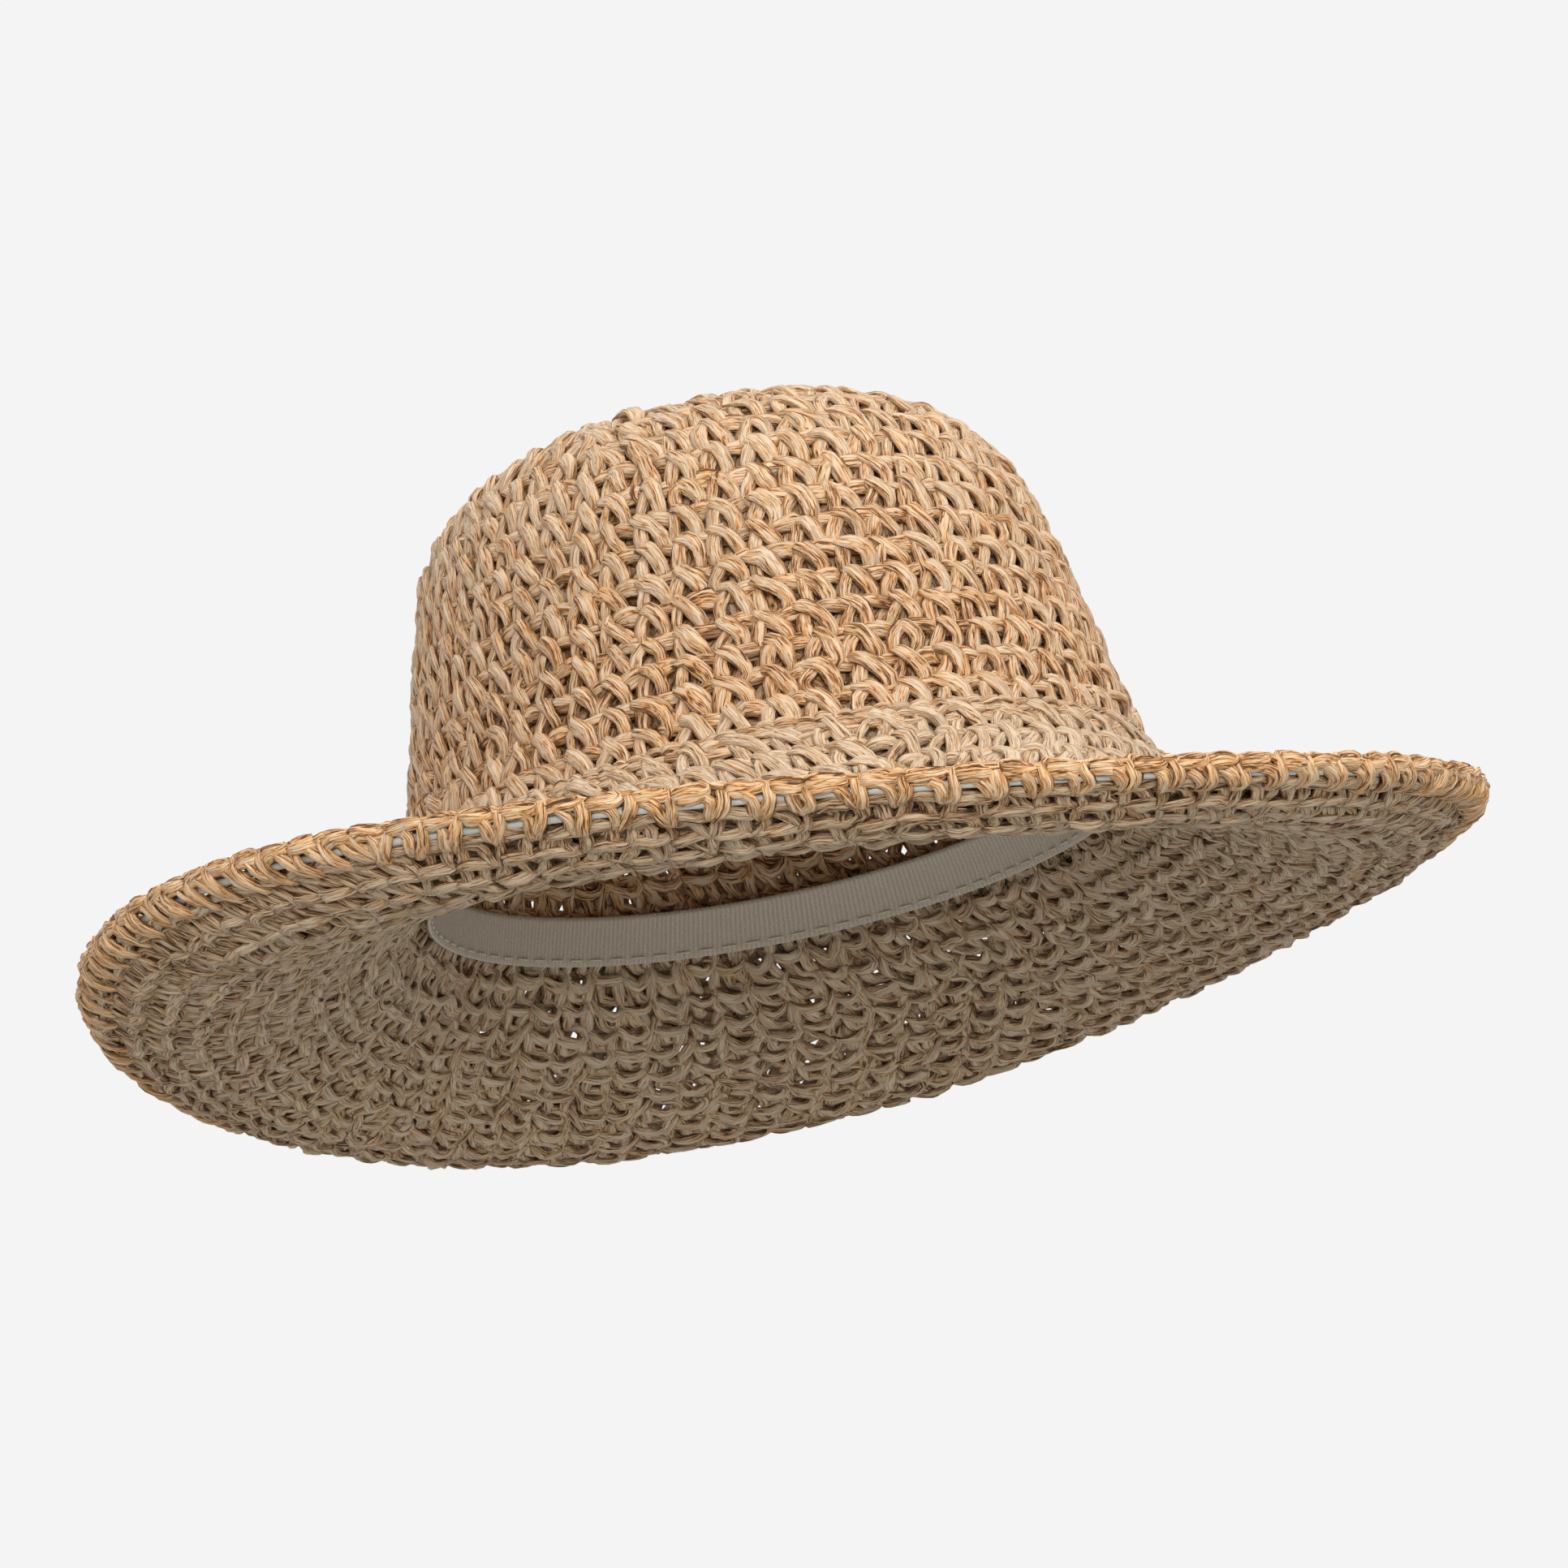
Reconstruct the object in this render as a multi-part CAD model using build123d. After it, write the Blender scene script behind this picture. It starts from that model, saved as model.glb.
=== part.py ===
from build123d import *
import math
import os

# A crocheted straw sun hat. Millimetres, +Z up, the front towards -Y, the wearer's left towards +X.
# The origin is the centre of the head opening, in the plane of the sweatband's lower edge.

# Driving dimensions
BASE_HALF_WIDTH = 86.8  # outside of the crown at its base, ear to ear
BASE_HALF_LENGTH = 105.0  # outside of the crown at its base, front to back
FABRIC = 4.6  # thickness of the crocheted straw
ROUND_PITCH = 7.42  # height of one round of the crown
RIDGE_HEIGHT = 6.0  # middle of the ridge round above the head opening
RIDGE_PROUD = 0.6  # how far the ridge round stands out from the crown
RIDGE_INNER_LEAN = 0.9  # how much further in the top of its inside lies

# How far each round of the crown leans in from upright, in degrees, from the ridge up to the flat top
CROWN_LEANS = [14, 14, 13, 12, 12, 12, 13, 14, 16, 20, 30, 44, 60, 77, 86]
SIDE_ROUNDS = 11  # the even rounds of the side; the rest are the widening rounds of the top
LOW_SIDE_ROUNDS = 5  # the lower ones of these, below the crown's waist
SWAY_FROM = 14.0  # the crown stands straight up to this height
SWAY_RISE = 82.0  # and sways more and more over this much above it
CROWN_SWAY_X = -1.5  # the top of the crown stands this far to the wearer's right
CROWN_SWAY_Y = 0.6  # and this far back
TOP_TILT_X = 0.058  # the top falls this much per millimetre towards the wearer's left
TOP_TILT_Y = -0.024  # and this much towards the back

# Downward slope of each round of the brim, in degrees, from the ridge to the turned-up edge
BRIM_SLOPES = [62, 53, 39, 30, 27, 24, 22, 17, 12, 0, -14, -28, -40]
BRIM_PITCH = 7.2  # height of one round of the brim
LEFT_NARROWER = 5.0  # the brim is this much narrower at the wearer's left
SADDLE_RISE = 10.2  # the brim's edge is this much higher at the sides and lower at front and back
SIDE_DROP = 5.4  # the edge hangs this much lower on the wearer's left and higher on the right
EDGE_THICKNESS = 5.6  # the last round is worked over the wire and is a little fatter
EDGE_GAP = 0.7  # between the rest of the brim and the solid of the last round
EDGE_CORNER_LENGTH = 1.2  # its outer corners are cut off by this much along it
EDGE_CORNER_DEPTH = 1.4  # and by this much through its thickness

WIRE_DIAMETER = 2.0
WIRE_FROM_EDGE = 3.3  # centre of the wire in from the outer edge
CHANNEL = 2.3  # the space between the posts of the last round where the wire lies
WIRE_LIFT = 0.1  # the wire lies this much deeper than the middle of the channel
WIRE_STEPS = 72
SLEEVE_DIAMETER = 3.0
SLEEVE_BORE_PLAY = 0.04
SLEEVE_STEPS = 4
SLEEVE_HALF_ANGLE = 3.2  # degrees either side of the centre back
WIRE_END_GAP_ANGLE = 0.15  # degrees

RIBBON_WIDTH = 12.0
RIBBON_THICKNESS = 0.7
RIBBON_CLEARANCE = 0.4
RIBBON_LEAN = 2.3  # how much further in its upper edge lies
STITCH_COUNT = 96
STITCH_LENGTH = 3.4
THREAD_DIAMETER = 0.5
THREAD_CLEARANCE = 0.06
STITCH_HEIGHT = 1.4  # the row of stitches above the ribbon's lower edge

SECTIONS_PER_HALF = 18  # cross-sections along half of the brim
ROUNDS = len(BRIM_SLOPES)
BRIM_LENGTH = ROUNDS * BRIM_PITCH
SADDLE_POWER = 1.3  # how the saddle grows from the ridge to the edge


def oval(offset, height):
    """An ellipse at a height, offset outwards from the outside of the crown's base.

    Higher ovals stand a little to the side and lean, as the soft crown does."""
    half_width = BASE_HALF_WIDTH + offset
    half_length = BASE_HALF_LENGTH + offset
    share = min(max((height - SWAY_FROM) / SWAY_RISE, 0.0), 1.0) ** 2
    place = Pos(CROWN_SWAY_X * share, CROWN_SWAY_Y * share, height)
    lean_x = -math.degrees(math.atan(TOP_TILT_Y * share))
    lean_y = math.degrees(math.atan(TOP_TILT_X * share))
    return place * Rot(lean_x, lean_y, 0) * Ellipse(half_width, half_length).wire()


def oval_solid(rings):
    """A closed solid through ovals given as (offset, height)."""
    return Solid.make_loft([oval(offset, height) for offset, height, *_ in rings], ruled=True)


def crown_profile():
    """The middle of the crown's thickness at the end of each round, up from the ridge round."""
    offset = -FABRIC / 2
    height = RIDGE_HEIGHT
    points = [(offset, height, 0.0)]
    for number, lean in enumerate(CROWN_LEANS, start=1):
        offset -= ROUND_PITCH * math.sin(math.radians(lean))
        height += ROUND_PITCH * math.cos(math.radians(lean))
        points.append((offset, height, number * ROUND_PITCH))
    return points


def crown_shell():
    """The whole crown as one shell, open at the base."""
    points = crown_profile()
    outside = [off_middle(points, place, -FABRIC) for place in range(len(points))]
    inside = [off_middle(points, place, FABRIC) for place in range(len(points))]
    return oval_solid(outside) - oval_solid(inside)


def brim_profile():
    """The middle of the brim's thickness at the end of each round: (reach, height, distance along it)."""
    reach = -FABRIC / 2
    height = RIDGE_HEIGHT
    points = [(reach, height, 0.0)]
    for number, slope in enumerate(BRIM_SLOPES, start=1):
        reach += BRIM_PITCH * math.cos(math.radians(slope))
        height -= BRIM_PITCH * math.sin(math.radians(slope))
        points.append((reach, height, number * BRIM_PITCH))
    return points


def brim_point(turn, reach, height, distance):
    """A point of the brim: turn is the oval's angle, 0 on the wearer's left and 90 at the back."""
    angle = math.radians(turn)
    out_x = math.cos(angle) / BASE_HALF_WIDTH
    out_y = math.sin(angle) / BASE_HALF_LENGTH
    size = math.hypot(out_x, out_y)
    share = max(distance, 0.0) / BRIM_LENGTH
    growth = share**SADDLE_POWER
    narrower = LEFT_NARROWER * share**2 * max(math.cos(angle), 0.0) ** 2
    lift = growth * (SADDLE_RISE * math.cos(2 * angle) - SIDE_DROP * math.cos(angle))
    return Vector(
        BASE_HALF_WIDTH * math.cos(angle) + reach * out_x / size - narrower,
        BASE_HALF_LENGTH * math.sin(angle) + reach * out_y / size,
        height + lift,
    )


def off_middle(points, place, thickness):
    """The profile point at an index, moved square to the profile by half the thickness."""
    before = points[max(place - 1, 0)]
    after = points[min(place + 1, len(points) - 1)]
    along_reach = after[0] - before[0]
    along_height = after[1] - before[1]
    size = math.hypot(along_reach, along_height)
    reach, height, distance = points[place]
    half = thickness / 2
    return (reach - half * along_height / size, height + half * along_reach / size, distance)


def half_ring(outline):
    """Half of a ring round the back of the hat, lofted through one closed outline at many turns."""
    wires = []
    for number in range(SECTIONS_PER_HALF + 1):
        turn = 180 * number / SECTIONS_PER_HALF
        corners = [brim_point(turn, *corner) for corner in outline]
        wires.append(Wire.make_polygon(corners, close=True))
    return Solid.make_loft(wires)


def full_ring(outline):
    """A whole ring: the back half and its mirror image at the front."""
    back = half_ring(outline)
    return back + mirror(back, about=Plane.XZ)


def brim_body():
    """The brim from under the ridge round to the start of the last round."""
    points = brim_profile()[:ROUNDS]
    upper = [off_middle(points, place, FABRIC) for place in range(ROUNDS)]
    lower = [off_middle(points, place, -FABRIC) for place in range(ROUNDS)]
    ring = full_ring(upper + lower[::-1])
    return split(ring, bisect_by=Plane.XY.offset(RIDGE_HEIGHT - ROUND_PITCH / 2), keep=Keep.BOTTOM)


def edge_directions():
    """The last round's start, and unit steps along it and up through its thickness."""
    start, end = brim_profile()[-2:]
    along = ((end[0] - start[0]) / BRIM_PITCH, (end[1] - start[1]) / BRIM_PITCH)
    return start, along, (-along[1], along[0])


def edge_point(forward, up):
    """A profile point of the last round, forward from its start and up through its thickness."""
    start, along, across = edge_directions()
    return (
        start[0] + forward * along[0] + up * across[0],
        start[1] + forward * along[1] + up * across[1],
        start[2] + forward,
    )


def edge_round():
    """The last round, with the channel in its underside where the wire lies."""
    half = EDGE_THICKNESS / 2
    wire = BRIM_PITCH - WIRE_FROM_EDGE
    outline = [
        edge_point(EDGE_GAP, half),
        edge_point(BRIM_PITCH - EDGE_CORNER_LENGTH, half),
        edge_point(BRIM_PITCH, half - EDGE_CORNER_DEPTH),
        edge_point(BRIM_PITCH, EDGE_CORNER_DEPTH - half),
        edge_point(BRIM_PITCH - EDGE_CORNER_LENGTH, -half),
        edge_point(wire + CHANNEL / 2, -half),
        edge_point(wire + CHANNEL / 2, CHANNEL - half),
        edge_point(wire - CHANNEL / 2, CHANNEL - half),
        edge_point(wire - CHANNEL / 2, -half),
        edge_point(EDGE_GAP, -half),
    ]
    return full_ring(outline)


def wire_path(start_turn, end_turn, steps):
    """The line of the wire along the channel, between two turns of the oval."""
    up = CHANNEL / 2 - EDGE_THICKNESS / 2 + WIRE_LIFT
    centre = edge_point(BRIM_PITCH - WIRE_FROM_EDGE, up)
    turns = [start_turn + (end_turn - start_turn) * step / steps for step in range(steps + 1)]
    return Edge.make_spline([brim_point(turn, *centre) for turn in turns])


def rod(path, diameter):
    """A round rod along a path."""
    section = Plane(origin=path @ 0, z_dir=path % 0) * Circle(diameter / 2)
    return sweep(section, path=path)


def sweatband():
    """The grosgrain ribbon inside the base of the crown."""
    low = -FABRIC - RIBBON_CLEARANCE
    high = low - RIBBON_LEAN
    outside = oval_solid([(low, 0.0), (high, RIBBON_WIDTH)])
    inside = oval_solid([(low - RIBBON_THICKNESS, 0.0), (high - RIBBON_THICKNESS, RIBBON_WIDTH)])
    return outside - inside


def stitch_row():
    """The running stitches that hold the ribbon, as short threads on its inner face."""
    lean = -RIBBON_LEAN * STITCH_HEIGHT / RIBBON_WIDTH
    inward = FABRIC + RIBBON_CLEARANCE + RIBBON_THICKNESS + THREAD_DIAMETER / 2 + THREAD_CLEARANCE - lean
    line = Edge.make_ellipse(BASE_HALF_WIDTH - inward, BASE_HALF_LENGTH - inward)
    line = Pos(0, 0, STITCH_HEIGHT) * line
    threads = []
    for number in range(STITCH_COUNT):
        middle = number / STITCH_COUNT
        lie = Plane(origin=line @ middle, z_dir=line % middle)
        threads.append(lie * Cylinder(THREAD_DIAMETER / 2, STITCH_LENGTH))
    return Compound(threads)


crown = crown_shell()
round_ends = [Plane.XY.offset(point[1]) for point in crown_profile()]
crown_top = split(crown, bisect_by=round_ends[SIDE_ROUNDS], keep=Keep.TOP)
crown_side = split(crown, bisect_by=round_ends[SIDE_ROUNDS], keep=Keep.BOTTOM)
crown_side = split(crown_side, bisect_by=Plane.XY.offset(RIDGE_HEIGHT + ROUND_PITCH / 2), keep=Keep.TOP)
crown_side_high = split(crown_side, bisect_by=round_ends[LOW_SIDE_ROUNDS], keep=Keep.TOP)
crown_side_low = split(crown_side, bisect_by=round_ends[LOW_SIDE_ROUNDS], keep=Keep.BOTTOM)
ridge_low = RIDGE_HEIGHT - ROUND_PITCH / 2
ridge_high = RIDGE_HEIGHT + ROUND_PITCH / 2
crown_base_round = oval_solid([(RIDGE_PROUD, ridge_low), (RIDGE_PROUD, ridge_high)]) - oval_solid(
    [(-FABRIC, ridge_low), (-FABRIC - RIDGE_INNER_LEAN, ridge_high)]
)

sleeve_path = wire_path(90 - SLEEVE_HALF_ANGLE, 90 + SLEEVE_HALF_ANGLE, SLEEVE_STEPS)
wire_line = wire_path(90 + WIRE_END_GAP_ANGLE, 450 - WIRE_END_GAP_ANGLE, WIRE_STEPS)
wire = rod(wire_line, WIRE_DIAMETER)
sleeve_outside = rod(sleeve_path, SLEEVE_DIAMETER)
sleeve = sleeve_outside - rod(sleeve_path, WIRE_DIAMETER + SLEEVE_BORE_PLAY)

nodes = {
    "crown_top": crown_top,
    "crown_side_high": crown_side_high,
    "crown_side_low": crown_side_low,
    "crown_base_round": crown_base_round,
    "brim": brim_body(),
    "brim_edge_round": edge_round() - sleeve_outside,
    "brim_wire": wire,
    "wire_sleeve": sleeve,
    "sweatband": sweatband(),
    "sweatband_stitches": stitch_row(),
}

os.makedirs("parts", exist_ok=True)
for name, shape in nodes.items():
    export_step(shape, f"parts/{name}.step")
    print(name, round(shape.volume), "mm3")
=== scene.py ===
import math

import bpy
import numpy as np
from mathutils import Matrix, Vector


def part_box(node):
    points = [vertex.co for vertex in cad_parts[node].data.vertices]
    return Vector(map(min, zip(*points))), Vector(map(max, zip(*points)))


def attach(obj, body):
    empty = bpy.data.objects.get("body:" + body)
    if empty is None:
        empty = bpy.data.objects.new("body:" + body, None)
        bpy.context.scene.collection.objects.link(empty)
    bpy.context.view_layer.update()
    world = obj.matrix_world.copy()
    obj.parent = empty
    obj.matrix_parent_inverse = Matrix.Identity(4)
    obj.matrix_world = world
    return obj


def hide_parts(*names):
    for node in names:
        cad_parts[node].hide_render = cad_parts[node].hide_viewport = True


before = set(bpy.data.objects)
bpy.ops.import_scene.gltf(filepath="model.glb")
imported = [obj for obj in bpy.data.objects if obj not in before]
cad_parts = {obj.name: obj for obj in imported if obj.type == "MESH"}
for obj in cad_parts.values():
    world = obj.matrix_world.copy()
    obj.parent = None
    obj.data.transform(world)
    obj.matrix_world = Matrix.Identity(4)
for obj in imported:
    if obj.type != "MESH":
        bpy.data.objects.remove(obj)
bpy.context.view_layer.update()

# A crocheted straw sun hat. Lengths are in millimetres until a mesh is made, and +Z is up.
# The front is towards -Y, the wearer's left towards +X.

MM = 0.001
RANDOM_SEED = 20261
rng = np.random.default_rng(RANDOM_SEED)

# The hat's surface: the same driving dimensions as the CAD model
RIDGE_PROUD = 0.6
FABRIC = 4.6
ROUND_PITCH = 7.42
RIDGE_HEIGHT = 6.0
# Degrees off upright in the crown's rounds, and below level in the brim's, both from the ridge
CROWN_LEANS = [14, 14, 13, 12, 12, 12, 13, 14, 16, 20, 30, 44, 60, 77, 86]
BRIM_SLOPES = [62, 53, 39, 30, 27, 24, 22, 17, 12, 0, -14, -28, -40]
BRIM_PITCH = 7.2
CROWN_SWAY = (-1.5, 0.6)  # the top of the crown stands this far to the wearer's right and back
TOP_TILT = (0.058, -0.024)  # and is lower on the wearer's left and front
SWAY_FROM = 14.0  # sway and tilt start at this height
SWAY_RISE = 82.0  # and are full this much higher
LEFT_NARROWER = 5.0  # the brim is this much narrower at the wearer's left
SADDLE_RISE = 10.2  # the brim's edge is this much higher at the sides, and lower at front and back
SIDE_DROP = 5.4  # and this much lower at the wearer's left, and higher at the right
SADDLE_POWER = 1.3
SIDE_ROUNDS = 11
LOW_SIDE_ROUNDS = 5
FLAT_ROUNDS = 5
FLAT_SLOPE = 2.0

base_low, base_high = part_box("crown_base_round")
HALF_WIDTH = base_high.x / MM - RIDGE_PROUD
HALF_LENGTH = base_high.y / MM - RIDGE_PROUD
BRIM_LENGTH = BRIM_PITCH * len(BRIM_SLOPES)
CROWN_LENGTH = ROUND_PITCH * len(CROWN_LEANS)
BACK = math.pi / 2

# How finely the surface is sampled
PROFILE_STEP = 0.25
FLAT_MIDDLE = 10.0  # the crown's flat top has its own slope this far in from the last leaning round
MOST_FLAT = 60.0  # more than the flat top's reach
PAST_EDGE = (8.0, 6.0)  # the profile and its rows run on past the brim's edge
HUB_HALF_WIDTH = 0.6  # where the rows stop at the centre of the crown's top
ROW_STEP = 1.25
COLUMNS = 1440
TURN_SAMPLES = 2881

# Yarn
CROWN_YARN_WIDTH = 3.3
BRIM_YARN_WIDTH = 3.15
EDGE_YARN_WIDTH = 3.8
YARN_THICK = 1.85
AROUND = 12
PER_POINT = 2
SHARPEN = 0.35
TWIST_LENGTH = 56.5  # yarn to one turn of its twist
BROAD_GROOVES = (3, 0.17)  # grooves round the yarn, and their depth as a share of its size
NARROW_GROOVES = (5, 0.11)
BROAD_WANDER = (1.2, 14.0)  # each wander is its size and the yarn length between changes
NARROW_WANDER = (1.5, 11.0)
WIDTH_WANDER = (0.14, 5.0)
THICK_WANDER = (0.12, 7.0)
LONG_TONE_WANDER = (0.025, 120.0)
SHORT_TONE_WANDER = (0.06, 9.0)
DEPTH_PAINTED_SHADE = 0.20  # painted shade: tone taken off where the yarn stands PROUD_FULL off the middle of the fabric, so yarn lying deep is darker
PROUD_FULL = 2.2
SIDE_TINT_AND_SHADE = 0.30  # tone added on the yarn's narrow sides: partly the strands' own orange-brown edges, partly painted shade in the creases between strands
SIDE_SHARPNESS = 6

# Stitches
SIDE_STITCHES = 58
TOP_STITCH = 9.3
BRIM_STITCH_AT = (0, 30)  # the brim's stitches widen between these distances from the ridge
BRIM_STITCH = (7.6, 9.8)
FEWEST_STITCHES = 6
SPIRAL_SHIFT = -0.08
STITCH_JITTER = (0.055, 0.075, 0.32)  # across (stitch widths), along growth (rounds), out
SLIDE = 0.045  # and each whole stitch slides, tilts and swells a little
TILT = 0.12
SWELL = 0.10
EDGE_ROUGHNESS = 0.6
LEAST_PARENTS = 0.8  # a stitch's foot is no wider than over a round with this share of its stitches
CROWN_INSIDE = 0.88  # the crown's stitches are flatter on the inside
CROWN_PROUD = 0.35  # and all stand out this much, less near the top
CROWN_PROUD_TO = -70
CROWN_PROUD_OVER = 60
CROWN_LEAST_PROUD = -0.8
BRIM_FLATTER = 0.2  # the brim's stitches get this much flatter over BRIM_CHANGE_OVER from the ridge
BRIM_PROUD = 0.35
BRIM_MORE_PROUD = 0.1
BRIM_CHANGE_OVER = 40

# One crochet stitch: across (stitch widths), along growth (rounds), out (mm), flat side's normal, width factor
STITCH_PATH = np.array([
    (-0.46, 0.86, -1.1, 0, 0.3, -1, 1.0), (-0.34, 0.46, -1.7, 0, 0, -1, 1.05),
    (-0.14, 0.04, -1.6, 0, 0, -1, 0.95), (-0.02, -0.20, -0.2, 0, -1, 0, 0.75),
    (-0.06, -0.02, 1.2, 0, 0, 1, 0.85), (-0.16, 0.36, 1.6, 0, 0, 1, 1.05),
    (-0.22, 0.80, 1.2, 0, 0.3, 1, 1.0), (-0.08, 1.05, 0.2, 0, 1, 0.3, 0.8),
    (0.22, 1.06, 0.1, 0, 1, 0.3, 0.8), (0.43, 0.84, 1.1, 0, 0.3, 1, 1.0),
    (0.30, 0.40, 2.2, 0, 0, 1, 1.2), (0.04, 0.00, 2.4, 0, 0, 1, 1.15),
    (-0.20, -0.16, 1.3, -0.3, -0.5, 1, 0.9), (-0.14, -0.26, -0.3, 0, -1, 0, 0.75),
    (0.04, -0.02, -1.6, 0, 0, -1, 0.95), (0.14, 0.42, -1.8, 0, 0, -1, 1.05),
    (0.10, 0.84, -1.2, 0, 0.3, -1, 0.9), (0.02, 1.02, 0.3, 0, 0.5, 1, 0.8),
    (0.34, 1.00, 1.1, 0, 0.2, 1, 1.2), (0.74, 1.02, 1.0, 0.2, 0.3, 1, 1.15),
    (0.96, 1.04, -0.4, 1, 0.5, 0, 0.85), (0.84, 1.12, -2.2, 0.2, 0.2, -1, 0.9),
    (0.48, 1.26, -3.0, 0, 0.2, -1, 1.0), (0.14, 1.08, -2.4, -0.2, 0.2, -1, 0.9),
    (0.22, 0.88, -1.0, 0, -0.3, -1, 0.85),
])

# The same stitch in the last round, its legs gathered in a pair that passes under the wire
EDGE_PATH = np.array([
    (-0.34, 0.84, -2.0, 0, 0.3, -1, 0.75), (-0.20, 0.56, -3.2, 0, 0, -1, 0.75),
    (-0.12, 0.08, -2.0, 0, 0, -1, 0.75), (-0.04, -0.16, -0.2, 0, -1, 0, 0.7),
    (-0.08, 0.00, 1.0, 0, 0, 1, 0.75), (-0.15, 0.38, 1.3, 0, 0, 1, 0.8),
    (-0.18, 0.74, 1.1, 0, 0.3, 1, 0.8), (-0.08, 0.93, 0.2, 0, 1, 0.3, 0.75),
    (0.10, 0.93, 0.1, 0, 1, 0.3, 0.75), (0.20, 0.72, 1.0, 0, 0.3, 1, 0.8),
    (0.15, 0.36, 1.8, 0, 0, 1, 0.9), (0.02, 0.00, 2.0, 0, 0, 1, 0.9),
    (-0.14, -0.14, 1.1, -0.3, -0.5, 1, 0.8), (-0.10, -0.20, -0.3, 0, -1, 0, 0.7),
    (0.04, 0.02, -2.0, 0, 0, -1, 0.75), (0.12, 0.50, -3.3, 0, 0, -1, 0.8),
    (0.10, 0.84, -2.2, 0, 0.5, -1, 0.75), (0.04, 0.96, -0.2, 0, 0.8, 0.6, 0.75),
    (0.34, 0.90, 0.9, 0, 0.5, 1, 0.85), (0.70, 0.90, 0.8, 0.2, 0.5, 1, 0.85),
    (0.93, 0.92, -0.4, 1, 0.5, 0, 0.7), (0.82, 0.94, -1.5, 0.2, 0.4, -1, 0.8),
    (0.48, 0.98, -1.9, 0, 0.4, -1, 0.9), (0.18, 0.92, -1.6, -0.2, 0.4, -1, 0.8),
    (0.26, 0.84, -0.8, 0, -0.3, -1, 0.7),
])

# One chain loop of the ridge: along (loops), across (mm), out (mm), flat side's normal, width factor
CHAIN_PATH = np.array([
    (0.00, 0.2, -0.9, 0, 0, 1, 0.8), (0.16, 0.9, 0.3, 0, 0.5, 1, 0.9),
    (0.55, 1.35, 0.9, 0, 0.4, 1, 1.1), (0.98, 1.15, 0.7, 0, 0.3, 1, 1.0),
    (1.24, 0.45, -0.2, 1, 0.2, 0.5, 0.8), (1.24, -0.45, -0.2, 1, -0.2, 0.5, 0.8),
    (0.98, -1.15, 0.7, 0, -0.3, 1, 1.0), (0.55, -1.35, 0.9, 0, -0.4, 1, 1.1),
    (0.16, -0.9, 0.3, 0, -0.5, 1, 0.9), (0.04, -0.2, -0.9, 0, 0, -1, 0.8),
    (0.40, 0.0, -1.5, 0, 0, -1, 0.8), (0.75, 0.0, -1.4, 0, 0, -1, 0.8),
])
CHAIN_JITTER = (0.09, 0.32, 0.28)
CHAIN_DEPTH = 2  # how much more a loop's height counts for its tone, and so for the painted depth shade, than a stitch's
RIDGE_TINT = 0.26
RIDGE_THICK = 1.4
RIDGE_ROWS = ((-0.6, 4.3, 1.7, 2.1), (1.6, 4.7, 1.4, 2.0))  # distance from the ridge, loop, lift, yarn width

# How orange each round is: greyer at the top, warm low on the crown, pale at the ridge, warm at the edge
TINT_AT = [-150, -80, -40, -12, -2, 12, 30, 66, 82, 92]
TINT_IS = [0.26, 0.28, 0.38, 0.45, 0.22, 0.22, 0.19, 0.24, 0.36, 0.40]
MOST_QUADS = 95_000  # in one piece

# Straw material
FOLD_SLOPE = -2.8
FOLD_LEVEL = 1.38
FOLD_SHARPNESS = 15.0
# The thin fold lines darken the colour by up to this much: painted shade in the creases
FOLD_LINE_PAINTED_SHADE = 0.52
FOLD_HEIGHT = 0.35

# Sweatband
RIB_PITCH = 1.35
PER_RIB = 6
BAND_ROWS = 10
RIBBON_LEAN = 2.3
RIBBON_THICK = 0.55
RIBBON_GAP = 0.10  # between the ribbon's back and its CAD solid's outside
RIBBON_SLACK = 3.2  # its free upper edge stands further in at the back left
SLACK_TURN = math.radians(40)
SLACK_NARROWNESS = 1.5
SLACK_GROWTH = 1.4
SLACK_SAG = 0.28
RIB_DEPTH = 0.17
RIB_SLANT = 0.9
RIB_SHADE = -0.13
BACK_RIB = -0.4  # the ribs' depth on the ribbon's back, as a share
SELVEDGE = 0.10
SELVEDGE_FROM = 0.42
SLOW_WAVES = ((0.25, 3, 0.7), (0.18, 7, 2.0))  # size, waves round the hat, phase
WAVE_IN = 0.15
WAVE_UP = 0.12

DRAWN_DARKER = 0.88  # the drawing marks on plastic and thread

# Floor, light and camera, in metres
FLOOR_HALF = 9
FLOOR_DROP = 0.6
WORLD_GREY = 0.905
LIT_POINT = (0, 0, 0.03)
AZIMUTH = math.radians(-23.0)
ELEVATION = math.radians(-12.9)
ROLL = math.radians(-9.8)
DISTANCE = 1.6
VIEW_WIDTH = 0.3709
VIEW_RIGHT = 0.0025
VIEW_UP = 0.0123
SENSOR = 36


# ---------------------------------------------------------------- the hat's surface

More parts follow.
